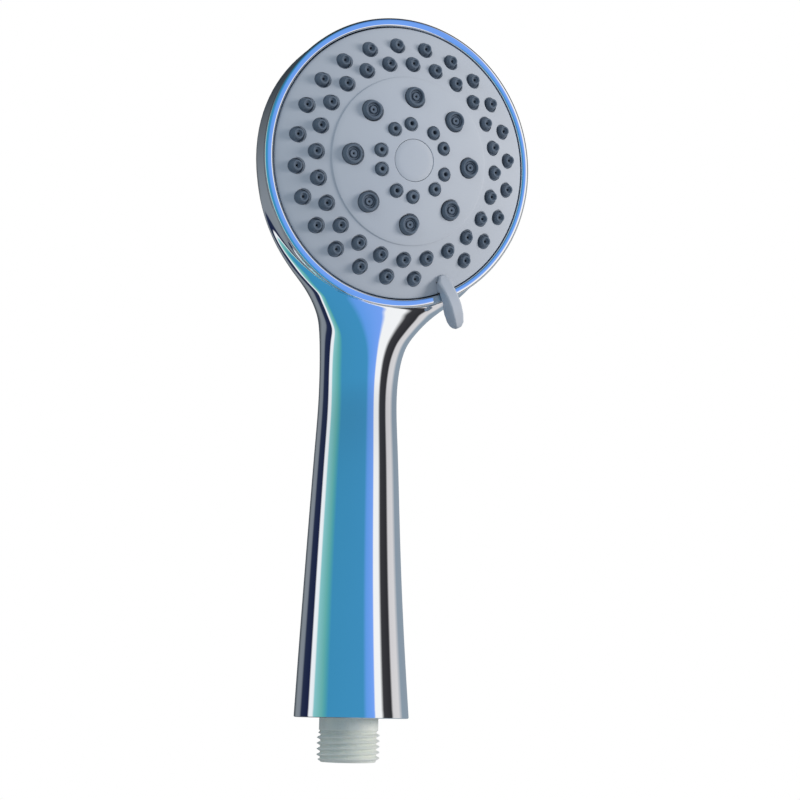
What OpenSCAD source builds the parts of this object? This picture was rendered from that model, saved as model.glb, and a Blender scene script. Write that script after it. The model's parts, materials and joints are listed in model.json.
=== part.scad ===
// Handheld shower head with a three-way spray selector.
// The origin is the centre of the inlet's end face, +Z runs up the handle and the face looks to -Y.
// Everything in the head is drawn in the face's own frame: its origin is the centre of the face
// plate's edge circle, its z points out of the face and its y points up the face.

/* [Head] */
// Outer diameter of the chrome trim ring
head_d = 100; // [94:1:122]
// Lean of the face from the handle's axis, in degrees
face_tilt = 15.4; // [12:0.2:19]
// Distance of the face's centre in front of the handle's axis
face_forward = 35.5; // [33:0.5:38]
// Height of the face's centre above the inlet's end
face_height = 201; // [190:1:245]
// Depth of the head behind the face plate's edge
head_depth = 32.5; // [31:0.5:40]
// Crown of the face plate above its edge
dome_h = 9.6; // [8.5:0.1:11]
// Wall of the moulded shell and the face plate
wall = 2.4; // [2:0.1:2.8]

/* [Handle] */
// Height of the chrome handle's lower edge above the inlet's end
mouth_z = 14.2; // [13.6:0.1:18]
// Diameter of the handle at its lower edge
mouth_d = 38.4; // [36:0.2:46]
// Forward offset of the handle's lower edge
mouth_forward = 2; // [0:0.2:3]
// Diameter of the handle's waist below the head
waist_d = 27.8; // [26.5:0.2:33]
// Height of the waist
waist_z = 130; // [118:1:134]

/* [Trim ring] */
// Width of the trim ring's front band
ring_w = 2.9; // [2.6:0.1:3.5]
// Gap between the turning face plate and the ring
face_gap = 0.4; // [0.3:0.05:0.6]

/* [Inlet] */
// Major radius of the G1/2 pipe thread
thread_r = 10.4775; // [10.4775:0.0001:10.4775]
// Pitch of the thread, 14 turns to the inch
thread_pitch = 1.814; // [1.814:0.001:1.814]
// Depth of the thread
thread_depth = 1.16; // [1:0.01:1.16]
// Height of the threaded length
thread_len = 9.6; // [9:0.1:10.5]
// Radius of the collar under the handle
collar_r = 12; // [11.5:0.1:13]
// Radius of the waterway along the handle
water_r = 5; // [4:0.1:5.4]
// Radius of the inlet's counterbore for the screen and the flow regulator
inlet_r = 7; // [6.5:0.1:7.4]
// Outer radius of the water tube in the handle
tube_r = 8; // [7.5:0.1:8.6]
// Outer radius of the tube's plug at its top
plug_r = 6.6; // [6.4:0.1:7]

/* [Spray nozzles] */
// Radius of the outer row of rain nozzles
rain_outer_r = 40.1; // [39:0.1:41]
// Radius of the inner row of rain nozzles
rain_inner_r = 33.7; // [33:0.1:34.5]
// Places in each row of rain nozzles
rain_count = 24; // [24:1:24]
// Radius of the circle of mist nozzles
mist_circle_r = 21.8; // [21:0.1:22.5]
// Number of mist nozzles
mist_count = 8; // [6:1:8]
// Radius of the circle of massage nozzles
massage_circle_r = 12.4; // [12:0.1:12.8]
// Number of pairs of massage nozzles
massage_pairs = 5; // [4:1:5]
// Half of the angle between the two nozzles of a pair
massage_half_angle = 15; // [14:0.5:17]
// Radius of the raised disc in the middle of the face
raised_r = 28.7; // [28:0.1:29]
// Height of the raised disc's step
raised_h = 0.4; // [0.2:0.1:0.6]
// Radius of the cap over the centre screw
cap_r = 7.15; // [6.9:0.05:7.4]

/* [Selector] */
// Side of the straight-down line on which the lever rests, in degrees
lever_side = 27.5; // [27:0.5:30]
// Angle between two spray settings
step_angle = 27.5; // [27:0.5:30]
// Thickness of the lever
lever_t = 4.4; // [4:0.1:4.8]
// Reach of the lever past the trim ring
lever_reach = 10.6; // [8:0.2:12]

/* [Hidden] */
$fn = 64;

chrome = [0.78, 0.80, 0.83];
face_grey = [0.69, 0.73, 0.78];
silicone_grey = [0.36, 0.41, 0.47];
milky = [0.80, 0.83, 0.82];
acetal = [0.93, 0.93, 0.90];
steel = [0.70, 0.71, 0.73];
seal_black = [0.10, 0.10, 0.11];

slip = 0.05;          // radial play of a turning or sliding fit
fit = 0.15;           // play of a piece that is fitted and stays
soft_gap = 0.3;       // room kept beside soft pieces

head_r = head_d / 2;
face_r = head_r - ring_w - face_gap;      // edge of the face plate
shell_r = head_r - 0.4;                   // outside of the rear shell's rim
rim_inner_r = shell_r - 1.6;              // inside of the rim
rim_w = -1.9;                             // front edge of the rim
ledge_w = -12;                            // ledge that carries the housing lid
ledge_r = rim_inner_r - 2.4;
plate_t = 2.2;                            // wall of the face plate
waist_r = waist_d / 2;
mouth_r = mouth_d / 2;
lever_angle = -90 + lever_side;

// Levels in the head, measured outwards from the face plate's edge plane
lid_front = -9;
lid_t = 2.8;
lid_back = lid_front - lid_t;
dial_back = -8;                           // back of the chamber plate
dial_t = 2.5;
dial_floor = dial_back + dial_t;
spigot_end = -14;                         // end of the dial's bearing spigot
spigot_r = 5;
hub_r = 5;
hub_top = 2;
housing_back = -head_depth + 9;
housing_r = 33;
chamber_r = face_r - plate_t - 0.3;
skirt_end = -5.2;
rib_outer_r = raised_r + 2.3;
rib_inner_r = 17.3;
rib_t = 1.4;
port_circle_r = 22;
port_r = 2.4;
seal_angle = 90;
detent_circle_r = 38.5;
peg_circle_r = 41.5;
peg_r = 1.3;
lug_circle_r = 35.2;
lug_angles = [45, 135, 195, 345];
screw_shank_r = 1.95;
cap_t = 1.7;
recess_r = 5;
recess_floor = 4.6;

function dome(r) = dome_h * (1 - pow(r / face_r, 2));
function dome_line(r0, r1, drop) =
    let (n = max(1, round((r1 - r0) / 2.4))) [for (i = [0:n]) let (r = r0 + (r1 - r0) * i / n) [r, dome(r) - drop]];
function reversed(list) = [for (i = [len(list) - 1:-1:0]) list[i]];

// Point in the handle's middle plane from face coordinates: u up the face, w out of it
function on_section(u, w) = [
    -face_forward - u * sin(face_tilt) - w * cos(face_tilt),
    face_height + u * cos(face_tilt) - w * sin(face_tilt)];

// Angles of the rain nozzles, with the place under the lever left out of the outer row
rain_step = 360 / rain_count;
outer_angles = [for (k = [1:rain_count - 1]) lever_angle + k * rain_step];
inner_angles = [for (k = [0:rain_count - 1]) lever_angle + (k + 0.5) * rain_step];
mist_angles = [for (k = [0:mist_count - 1]) lever_angle + (k + 0.5) * 360 / mist_count];
massage_angles = [for (k = [0:massage_pairs - 1], side = [-1, 1])
    lever_angle + 180 + k * 360 / massage_pairs + side * massage_half_angle];

module on_face() {
    translate([0, -face_forward, face_height]) rotate([90 + face_tilt, 0, 0]) children();
}

module around(angles, r) {
    for (a = angles) rotate([0, 0, a]) translate([r, 0, 0]) children();
}

module tube(r_out, r_in, z0, z1) {
    translate([0, 0, z0]) difference() {
        cylinder(r = r_out, h = z1 - z0);
        translate([0, 0, -1]) cylinder(r = r_in, h = z1 - z0 + 2);
    }
}

module o_ring(major_r, wire_r, z) {
    translate([0, 0, z]) rotate_extrude() translate([major_r, 0]) circle(r = wire_r, $fn = 24);
}

module coil_spring(coil_r, wire_r, z0, z1, turns) {
    sides = 6;
    per_turn = 16;
    steps = turns * per_turn;
    rise = z1 - z0 - 2 * wire_r;
    points = [for (i = [0:steps], j = [0:sides - 1])
        let (a = 360 * i / per_turn, b = 360 * j / sides, r = coil_r + wire_r * cos(b))
        [r * cos(a), r * sin(a), z0 + wire_r + rise * i / steps + wire_r * sin(b)]];
    faces = concat(
        [[for (j = [0:sides - 1]) j]],
        [for (i = [0:steps - 1], j = [0:sides - 1]) let (k = (j + 1) % sides)
            [i * sides + j, (i + 1) * sides + j, (i + 1) * sides + k]],
        [for (i = [0:steps - 1], j = [0:sides - 1]) let (k = (j + 1) % sides)
            [i * sides + j, (i + 1) * sides + k, i * sides + k]],
        [[for (j = [sides - 1:-1:0]) steps * sides + j]]);
    polyhedron(points, faces);
}

// The shell is a run of oval rings. Each has a front point and a back point in the middle plane
// and a half width, [front y, front z, back y, back z, half width, how much the back is narrowed].
function level_ring(z, r, y) = [y - r, z, y + r, z, r, 0];
function leaning_ring(front, back, half_w, narrow = 0) = [front[0], front[1], back[0], back[1], half_w, narrow];
function face_ring(r, w) = leaning_ring(on_section(-r, w), on_section(r, w), r);
function taper(t) = mouth_r + (waist_r - mouth_r) * (1.25 * t - 0.25 * t * t);

grip_span = waist_z - mouth_z;
throat = on_section(-shell_r, rim_w);     // where the neck's front meets the rim
throat_rise = throat[1] - waist_z;
throat_out = -throat[0] - waist_r;
function throat_point(part, rise) = [-waist_r - throat_out * part, waist_z + throat_rise * rise];

outer_rings = [
    level_ring(mouth_z, mouth_r, -mouth_forward),
    level_ring(mouth_z + grip_span * 0.2, taper(0.2), -mouth_forward * 0.4),
    level_ring(mouth_z + grip_span * 0.45, taper(0.45), 0),
    level_ring(mouth_z + grip_span * 0.75, taper(0.75), 0),
    level_ring(waist_z - 4, waist_r, 0),
    leaning_ring(throat_point(0.20, 0.30), on_section(-57, -head_depth - 2.9), waist_r + 1.5, 0.12),
    leaning_ring(throat_point(0.46, 0.60), on_section(-44, -head_depth - 2.3), waist_r + 5.4, 0.24),
    leaning_ring(throat_point(0.72, 0.83), on_section(-31, -head_depth - 1.5), waist_r + 11.3, 0.3),
    leaning_ring(throat_point(0.88, 0.94), on_section(-16, -head_depth - 0.5), shell_r * 0.66, 0.22),
    leaning_ring(throat_point(0.95, 0.985), on_section(2, -head_depth), shell_r * 0.80, 0.12),
    leaning_ring(throat_point(0.985, 0.997), on_section(shell_r * 0.45, -head_depth + 1.2), shell_r * 0.91, 0.05),
    leaning_ring(on_section(-shell_r, rim_w - 0.25), on_section(shell_r * 0.79, -head_depth + 4.8), shell_r * 0.97, 0.01),
    leaning_ring(on_section(-shell_r, rim_w - 0.2), on_section(shell_r * 0.965, -head_depth + 11.5), shell_r * 0.998),
    leaning_ring(on_section(-shell_r, rim_w - 0.1), on_section(shell_r, -head_depth + 19), shell_r),
    face_ring(shell_r, rim_w)];

bore_r = waist_r - wall;
bore_front = on_section(-ledge_r, ledge_w);
inner_rings = [
    level_ring(mouth_z, mouth_r - wall, -mouth_forward),
    level_ring(mouth_z + grip_span * 0.45, taper(0.45) - wall, 0),
    level_ring(waist_z, bore_r, 0),
    leaning_ring([-bore_r, waist_z + 14], on_section(-52, -head_depth - 0.2), waist_r, 0.12),
    leaning_ring([bore_front[0], bore_front[1] - 6], on_section(-26, -head_depth + 1.6), shell_r * 0.50, 0.25),
    leaning_ring([bore_front[0], bore_front[1] - 2], on_section(-6, -head_depth + 2.5), shell_r * 0.68, 0.16),
    leaning_ring([bore_front[0], bore_front[1] - 0.6], on_section(shell_r * 0.40, -head_depth + 4), shell_r * 0.83, 0.06),
    leaning_ring(on_section(-ledge_r, ledge_w - 0.5), on_section(shell_r * 0.71, -head_depth + 8), shell_r * 0.885, 0.01),
    leaning_ring(on_section(-ledge_r, ledge_w - 0.3), on_section(shell_r * 0.88, -head_depth + 13.5), ledge_r),
    face_ring(ledge_r, ledge_w)];

// Smooth curve through neighbouring rings
function blend(a, b, c, d, t) =
    0.5 * (2 * b + (c - a) * t + (2 * a - 5 * b + 4 * c - d) * t * t + (3 * b - a - 3 * c + d) * t * t * t);
function smooth_run(rings, cuts) = [
    for (i = [0:len(rings) - 2], k = [0:cuts - 1])
        blend(rings[max(i - 1, 0)], rings[i], rings[i + 1], rings[min(i + 2, len(rings) - 1)], k / cuts),
    rings[len(rings) - 1]];
function ring_points(ring, sides) = [for (j = [0:sides - 1])
    let (a = 360 * j / sides, back = sin(a), across = ring[4] * cos(a) * (1 - ring[5] * back))
    [across, (ring[0] + ring[2] + (ring[2] - ring[0]) * back) / 2,
        (ring[1] + ring[3] + (ring[3] - ring[1]) * back) / 2]];
function strip(i, j, sides) = let (k = (j + 1) % sides, a = i * sides, b = a + sides) [a + j, b + j, b + k, a + k];

module handle_shell() {
    sides = 48;
    outside = smooth_run(outer_rings, 3);
    inside = concat(smooth_run(inner_rings, 2), [face_ring(rim_inner_r, ledge_w + 0.05), face_ring(rim_inner_r, rim_w)]);
    loop = concat(outside, reversed(inside));
    count = len(loop);
    points = [for (ring = loop) each ring_points(ring, sides)];
    triangles = [for (i = [0:count - 1], j = [0:sides - 1])
        let (q = [for (p = strip(i, j, sides)) p % (count * sides)]) each [[q[0], q[1], q[2]], [q[0], q[2], q[3]]]];
    color(chrome) polyhedron(points, triangles);
}

cap_top = mouth_z + 3;
module end_cap() {
    lip = 0.5;
    color(chrome) translate([0, -mouth_forward, 0]) difference() {
        translate([0, 0, mouth_z + lip]) cylinder(r1 = mouth_r - wall - 0.25, r2 = mouth_r - wall - 0.45, h = cap_top - mouth_z - lip);
        translate([0, mouth_forward, 0]) cylinder(r = collar_r + fit, h = cap_top * 2);
    }
}

module trim_ring() {
    sleeve_in = face_r + face_gap;
    sleeve_out = rim_inner_r - fit;
    under = rim_w + 0.1;
    color(chrome) on_face() rotate_extrude($fn = 128) polygon([
        [sleeve_in, lid_front + 0.1], [sleeve_out, lid_front + 0.1], [sleeve_out, under], [head_r - 0.2, under],
        [head_r, under + 0.5], [head_r, -0.6], [head_r - 0.25, 0.05], [head_r - 0.7, 0.45], [head_r - 1.2, 0.6],
        [sleeve_in + 0.3, 0.5], [sleeve_in, 0.2]]);
}

// Water tube with the threaded inlet
plug_start = waist_z + 15;
plug_end = plug_start + 11;
seal_levels = [plug_start + 4, plug_start + 8];
seal_wire_r = 0.7;
counterbore_end = 13;
module thread_profile() {
    crest = 0.3;
    half = thread_pitch / 2;
    root_r = thread_r - thread_depth;
    turns = floor(thread_len / thread_pitch);
    polygon(concat([[inlet_r, 0], [root_r - 0.1, 0], [root_r + 0.2, 0.5]],
        [for (i = [0:turns - 1]) let (z = 0.6 + half + i * thread_pitch) each [
            [root_r, z - half + 0.05], [thread_r, z - crest / 2], [thread_r, z + crest / 2], [root_r, z + half - 0.05]]],
        [[thread_r - 0.55, thread_len + 0.8], [thread_r - 0.55, mouth_z - 1.2], [collar_r, mouth_z - 1.2],
            [collar_r, cap_top], [collar_r + 1.8, cap_top + 0.1], [collar_r + 1.8, cap_top + 2.1], [tube_r, cap_top + 4],
            [tube_r, plug_start - 0.4], [plug_r, plug_start - 0.2], [plug_r, plug_end - 0.6], [plug_r - 0.6, plug_end],
            [water_r, plug_end], [water_r, counterbore_end], [inlet_r, counterbore_end]]));
}

module inlet_tube() {
    color(milky) difference() {
        rotate_extrude($fn = 96) thread_profile();
        for (z = seal_levels) tube(plug_r + 1, plug_r - 2 * seal_wire_r + 0.1, z - seal_wire_r, z + seal_wire_r);
    }
}

module tube_seals() {
    color(seal_black) for (z = seal_levels) o_ring(plug_r - seal_wire_r + 0.1, seal_wire_r - 0.05, z);
}

screen_z = 5.6;
module inlet_screen() {
    mesh_gap = 1.5;
    bar = 0.45;
    reach = inlet_r - 1.1;
    color(steel) {
        tube(inlet_r - fit, inlet_r - 1.2, screen_z, screen_z + 1);
        intersection() {
            translate([0, 0, screen_z + 0.3]) cylinder(r = reach, h = bar);
            for (i = [-3:3]) {
                translate([-reach, i * mesh_gap - bar / 2, screen_z + 0.3]) cube([2 * reach, bar, bar]);
                translate([i * mesh_gap - bar / 2, -reach, screen_z + 0.3]) cube([bar, 2 * reach, bar]);
            }
        }
    }
}

regulator_z = screen_z + 1.2;
regulator_h = counterbore_end - regulator_z - 0.1;
module flow_regulator() {
    groove_z = regulator_z + regulator_h / 2;
    color(acetal) difference() {
        translate([0, 0, regulator_z]) cylinder(r = inlet_r - fit, h = regulator_h);
        tube(inlet_r + 1, inlet_r - 1.3, groove_z - 0.7, groove_z + 0.7);
        for (a = [0:60:300]) rotate([0, 0, a]) translate([3.1, 0, 0]) cylinder(r = 0.9, h = 20);
        translate([0, 0, regulator_z + regulator_h - 2]) cylinder(r = 4.4, h = 5);
    }
}

module regulator_seal() {
    color(seal_black) o_ring(inlet_r - 0.68, 0.6, regulator_z + regulator_h / 2);
}

// Water housing: a cup behind the lid, with an elbow down to the tube's plug
socket_r = plug_r + 1.8;
socket_start = plug_start + 0.4;
socket_end = plug_end + 5;
elbow_low = [0, plug_end + 2];
module elbow_run(r) {
    // From the middle of the socket up into the cup, along a straight line in the middle plane
    target = on_section(-housing_r + 9, housing_back + 3.6);
    run = target - elbow_low;
    translate([0, elbow_low[0], elbow_low[1]]) rotate([atan2(-run[0], run[1]), 0, 0]) cylinder(r = r, h = norm(run));
}

module cup_profile(r_side, r_back, back, front) {
    polygon([[0, front], [r_side, front], [r_side, -15.5], [r_back, back], [0, back]]);
}

module water_housing() {
    inset = 2;
    color(acetal) difference() {
        union() {
            on_face() {
                rotate_extrude() cup_profile(housing_r, housing_r - 3.5, housing_back, lid_back);
                around(lug_angles, lug_circle_r) translate([0, 0, lid_back - 6]) cylinder(r = 3, h = 6);
            }
            translate([0, 0, socket_start]) cylinder(r = socket_r, h = socket_end - socket_start);
            elbow_run(socket_r - 0.7);
        }
        on_face() difference() {
            rotate_extrude() cup_profile(housing_r - 2.8, housing_r - 3.5 - inset, housing_back + inset, lid_back + 1);
            translate([0, 0, housing_back - 1]) cylinder(r = spigot_r + 2.4, h = spigot_end - housing_back + 0.5);
        }
        on_face() translate([0, 0, housing_back + 1.5]) cylinder(r = screw_shank_r - 0.15, h = 20);
        on_face() tube(housing_r - 0.7, housing_r - 2.1, lid_back - 1.2, lid_back + 1);
        on_face() around(lug_angles, lug_circle_r) translate([0, 0, lid_back - 5]) cylinder(r = 1.2, h = 6);
        translate([0, 0, socket_start - 1]) cylinder(r = plug_r + slip * 2, h = plug_end - socket_start + 1.4);
        translate([0, 0, plug_end - 1]) cylinder(r = water_r, h = 4);
        elbow_run(water_r - 0.5);
    }
}

module housing_seal() {
    color(seal_black) on_face() o_ring(housing_r - 1.4, 0.55, lid_back - 0.6);
}

module housing_lid() {
    pocket_r = 5;
    pin_r = 2;
    color(acetal) on_face() difference() {
        union() {
            translate([0, 0, lid_back]) cylinder(r = rim_inner_r - fit, h = lid_t);
            rotate([0, 0, seal_angle]) translate([port_circle_r, 0, -19]) cylinder(r = pocket_r + 1.3, h = 19 + lid_back + 1);
            rotate([0, 0, seal_angle]) translate([detent_circle_r, 0, -15.6]) cylinder(r = pin_r + 1.2, h = 15.6 + lid_back + 1);
            rotate([0, 0, -90]) translate([peg_circle_r, 0, lid_front - 0.5]) cylinder(r = peg_r, h = 2.5);
            translate([0, 0, spigot_end + 0.2]) cylinder(r = spigot_r + 2.2, h = lid_back - spigot_end + 0.5);
        }
        translate([0, 0, spigot_end - 1]) cylinder(r = spigot_r + slip, h = 10);
        rotate([0, 0, seal_angle]) translate([port_circle_r, 0, -17.8]) {
            cylinder(r = pocket_r, h = 20);
            for (a = [45, 135]) rotate([0, 0, a]) translate([-10, -1.4, 0]) cube([20, 2.8, 3]);
        }
        rotate([0, 0, seal_angle]) translate([detent_circle_r, 0, -14.6]) cylinder(r = pin_r + slip, h = 20);
        around(lug_angles, lug_circle_r) {
            translate([0, 0, lid_back - 1]) cylinder(r = 1.7, h = 10);
            translate([0, 0, lid_front - 1.9]) cylinder(r1 = 1.7, r2 = 3.3, h = 2);
        }
    }
}

module housing_screws() {
    color(steel) on_face() around(lug_angles, lug_circle_r) difference() {
        union() {
            translate([0, 0, lid_back - 4.6]) cylinder(r = 1.35, h = 7);
            translate([0, 0, lid_front - 1.8]) cylinder(r1 = 1.45, r2 = 2.9, h = 1.6);
        }
        for (a = [0, 90]) rotate([0, 0, a]) translate([-1.7, -0.3, lid_front - 0.9]) cube([3.4, 0.6, 2]);
    }
}

module port_seal() {
    color(seal_black) on_face() rotate([0, 0, seal_angle]) translate([port_circle_r, 0, 0])
        tube(4.95, 2.3, -13.4, dial_back - 0.1);
}

module port_spring() {
    color(steel) on_face() rotate([0, 0, seal_angle]) translate([port_circle_r, 0, 0])
        coil_spring(3.9, 0.35, -17.75, -13.45, 3);
}

module detent_pin() {
    color(acetal) on_face() rotate([0, 0, seal_angle]) translate([detent_circle_r, 0, 0]) rotate_extrude()
        polygon([[0, -12], [2, -12], [2, -9.3], [1.5, -8.7], [0.8, -8.2], [0, dial_back - 0.05]]);
}

module detent_spring() {
    color(steel) on_face() rotate([0, 0, seal_angle]) translate([detent_circle_r, 0, 0])
        coil_spring(1.5, 0.22, -14.55, -12.05, 4);
}

// Turning side: chamber plate behind the face
module duct(r0, r1) {
    // Covered channel over a port, which leads across a dividing rib
    translate([min(r0, r1), -4, dial_floor - 0.5]) cube([abs(r1 - r0), 8, 4.7]);
}

module chamber_plate() {
    rib_top_outer = dome(rib_outer_r) - plate_t - 0.1;
    rib_top_inner = dome(rib_inner_r) - plate_t - 0.1;
    stop_gap = 0.35;
    stop_margin = asin((peg_r + stop_gap) / peg_circle_r);
    settings = [0, 1, 2];
    color(acetal) on_face() difference() {
        union() {
            translate([0, 0, dial_back]) cylinder(r = chamber_r, h = dial_t);
            tube(chamber_r, chamber_r - 1.6, dial_floor - 0.5, dome(chamber_r) - plate_t - 0.1);
            tube(rib_outer_r, rib_outer_r - rib_t, dial_floor - 0.5, rib_top_outer);
            tube(rib_inner_r, rib_inner_r - rib_t, dial_floor - 0.5, rib_top_inner);
            translate([0, 0, spigot_end]) cylinder(r = spigot_r, h = dial_back - spigot_end + 0.5);
            translate([0, 0, dial_floor - 0.5]) cylinder(r = hub_r, h = hub_top - dial_floor + 0.5);
            translate([0, 0, dial_floor - 0.5]) cylinder(r = hub_r + 1.4, h = 1);
            rotate([0, 0, seal_angle]) duct(port_circle_r - 3.5, rib_outer_r + 1);
            rotate([0, 0, seal_angle + 2 * step_angle]) duct(rib_inner_r - 2.4, port_circle_r + 3.5);
        }
        translate([0, 0, spigot_end - 1]) cylinder(r = screw_shank_r + 0.3, h = 30);
        tube(spigot_r + 1, spigot_r - 1.15, -11.7, -10.4);
        for (s = settings) rotate([0, 0, seal_angle + s * step_angle]) {
            translate([port_circle_r, 0, dial_back - 1]) cylinder(r = port_r, h = dial_t + 2);
            translate([detent_circle_r, 0, dial_back - 1]) cylinder(r1 = 1.6, r2 = 0.9, h = 1.5);
        }
        rotate([0, 0, seal_angle]) translate([port_circle_r - 2.5, -2.8, dial_floor]) cube([40 - port_circle_r, 5.6, 2.8]);
        rotate([0, 0, seal_angle + 2 * step_angle]) translate([10, -2.8, dial_floor]) cube([port_circle_r - 7.5, 5.6, 2.8]);
        rotate([0, 0, -90 - stop_margin]) translate([0, 0, dial_back - 1])
            rotate_extrude(angle = 2 * (step_angle + stop_margin))
                translate([peg_circle_r - peg_r - stop_gap, 0]) square([2 * (peg_r + stop_gap), 2.4]);
    }
}

module dial_seal() {
    color(seal_black) on_face() o_ring(spigot_r - 0.58, 0.52, -11.05);
}

rain_hole_r = 2.6;
mist_hole_r = 3.6;
massage_hole_r = 2.35;
lever_foot = 4.2;                          // length of the lever's foot on the face plate
lever_seat = -1.2;                         // level of the notch that takes the foot
module face_plate() {
    color(face_grey) on_face() difference() {
        union() {
            rotate_extrude($fn = 128) polygon(concat(
                [[0, dome(0) + raised_h]], dome_line(2, raised_r - 0.3, -raised_h), dome_line(raised_r, face_r - 0.5, 0),
                [[face_r, -0.35], [face_r, skirt_end], [face_r - plate_t + 0.15, skirt_end]],
                reversed(dome_line(recess_r + 2, face_r - plate_t + 0.15, plate_t)), [[recess_r + 1.6, hub_top + 0.1], [0, hub_top + 0.1]]));
        }
        around(outer_angles, rain_outer_r) translate([0, 0, -6]) cylinder(r = rain_hole_r, h = 20, $fn = 32);
        around(inner_angles, rain_inner_r) translate([0, 0, -6]) cylinder(r = rain_hole_r, h = 20, $fn = 32);
        around(mist_angles, mist_circle_r) translate([0, 0, -6]) cylinder(r = mist_hole_r, h = 20, $fn = 32);
        around(massage_angles, massage_circle_r) translate([0, 0, -6]) cylinder(r = massage_hole_r, h = 20, $fn = 32);
        translate([0, 0, dome(0) + raised_h - cap_t - 0.3]) cylinder(r = cap_r + slip, h = 10);
        translate([0, 0, recess_floor]) cylinder(r = recess_r, h = 10);
        translate([0, 0, -1]) cylinder(r = screw_shank_r + 0.3, h = 12);
        rotate([0, 0, lever_angle]) translate([face_r - lever_foot, -lever_t / 2 - slip, lever_seat]) cube([lever_foot * 2, lever_t + 2 * slip, 20]);
    }
}

// Lever: a rounded fin that stands on the face plate's edge and reaches out over the ring
module selector_lever() {
    tip = head_r + lever_reach;
    clear = 0.6 + 0.45;                    // underside over the trim ring
    root = face_r - lever_foot + slip;
    heel = root - 2.2;
    half = lever_t / 2;
    foot = lever_seat + slip;
    side = [
        [root, foot], [face_r - 0.1, foot], [face_r - 0.1, clear], [head_r + 0.5, clear], [head_r + 1.4, 0],
        [tip - 3, -0.8], [tip - 1.2, -0.4], [tip - 0.2, 1], [tip, 2.6], [tip - 0.5, 4.2], [tip - 2, 5.6],
        [tip - 5, 6.9], [tip - 8.5, 7.4], [tip - 12, 6.9], [tip - 15, 5.8], [heel + 0.6, 3.9],
        [heel, dome(heel) + 0.1], [root, dome(root) + 0.1]];
    plan = [
        [heel, -half * 0.5], [heel + 1.2, -half], [tip - 4, -half], [tip - 1.2, -half * 0.8], [tip, -half * 0.35],
        [tip, half * 0.35], [tip - 1.2, half * 0.8], [tip - 4, half], [heel + 1.2, half], [heel, half * 0.5]];
    color(face_grey) on_face() rotate([0, 0, lever_angle]) intersection() {
        rotate([90, 0, 0]) translate([0, 0, -half]) linear_extrude(lever_t) polygon(side);
        translate([0, 0, -5]) linear_extrude(20) polygon(plan);
    }
}

// Soft nozzles: a web under the face plate with one nub for each hole
module web(r0, r1, t) {
    drop = plate_t + slip;
    rotate_extrude() polygon(concat(dome_line(r0, r1, drop), reversed(dome_line(r0, r1, drop + t))));
}

module nub(r, base_r, tip_r, tall, web_drop) {
    top = dome(r) + tall;
    foot = dome(r) - web_drop;
    translate([0, 0, foot]) cylinder(r = base_r, h = top - foot - tall + 0.25, $fn = 32);
    translate([0, 0, top - tall + 0.25]) cylinder(r1 = base_r - 0.25, r2 = tip_r, h = tall - 0.25, $fn = 32);
}

module rain_nozzle_mat() {
    web_t = 1.2;
    nub_h = 1.9;
    rows = [[outer_angles, rain_outer_r], [inner_angles, rain_inner_r]];
    color(silicone_grey) on_face() difference() {
        union() {
            web(rib_outer_r + 0.2, chamber_r - 1.9, web_t);
            for (row = rows) around(row[0], row[1]) nub(row[1], rain_hole_r - fit, 1.5, nub_h, plate_t + 0.8);
        }
        for (row = rows) around(row[0], row[1]) {
            translate([0, 0, -8]) cylinder(r = 0.45, h = 30, $fn = 16);
            translate([0, 0, dome(row[1]) - plate_t - 4]) cylinder(r = 1.4, h = 4, $fn = 16);
        }
        rotate([0, 0, lever_angle]) translate([face_r - lever_foot - 0.3, -lever_t / 2 - 0.4, -8]) cube([20, lever_t + 0.8, 20]);
    }
}

module mist_nozzles() {
    top = dome(mist_circle_r) + raised_h + 1.6;
    foot = dome(mist_circle_r + mist_hole_r) - plate_t - 1.6;
    shelf = foot + 1.2;
    color(silicone_grey) on_face() around(mist_angles, mist_circle_r) difference() {
        union() {
            translate([0, 0, foot]) cylinder(r = mist_hole_r + 0.7, h = 1.2);
            translate([0, 0, foot]) cylinder(r = mist_hole_r - fit, h = top - foot - 0.4);
            translate([0, 0, top - 0.41]) cylinder(r1 = mist_hole_r - fit, r2 = mist_hole_r - 0.75, h = 0.41);
        }
        translate([0, 0, foot - 1]) cylinder(r = 1.2, h = 20, $fn = 32);
        translate([0, 0, shelf]) cylinder(r = 2.2, h = 20);
    }
}

module mist_inserts() {
    top = dome(mist_circle_r) + raised_h + 1.6;
    shelf = dome(mist_circle_r + mist_hole_r) - plate_t - 0.4;
    color(silicone_grey) on_face() around(mist_angles, mist_circle_r) difference() {
        union() {
            translate([0, 0, shelf + slip]) cylinder(r = 2.15, h = 1.6);
            translate([0, 0, shelf + slip]) cylinder(r = 1.3, h = top - shelf - 0.25, $fn = 32);
        }
        translate([0, 0, shelf - 1]) cylinder(r = 0.35, h = 20, $fn = 16);
        for (a = [0, 120, 240]) rotate([0, 0, a]) translate([1.4, -0.3, shelf - 1]) cube([2, 0.6, 4]);
    }
}

module massage_nozzle_mat() {
    nub_h = 1.2 + raised_h;
    color(silicone_grey) on_face() difference() {
        union() {
            web(recess_r + 3.4, rib_inner_r - rib_t - 0.3, 1.2);
            around(massage_angles, massage_circle_r) nub(massage_circle_r, massage_hole_r - fit, 1.55, nub_h, plate_t + 0.8);
        }
        around(massage_angles, massage_circle_r) translate([0, 0, -8]) cylinder(r = 0.65, h = 30, $fn = 16);
    }
}

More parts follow.
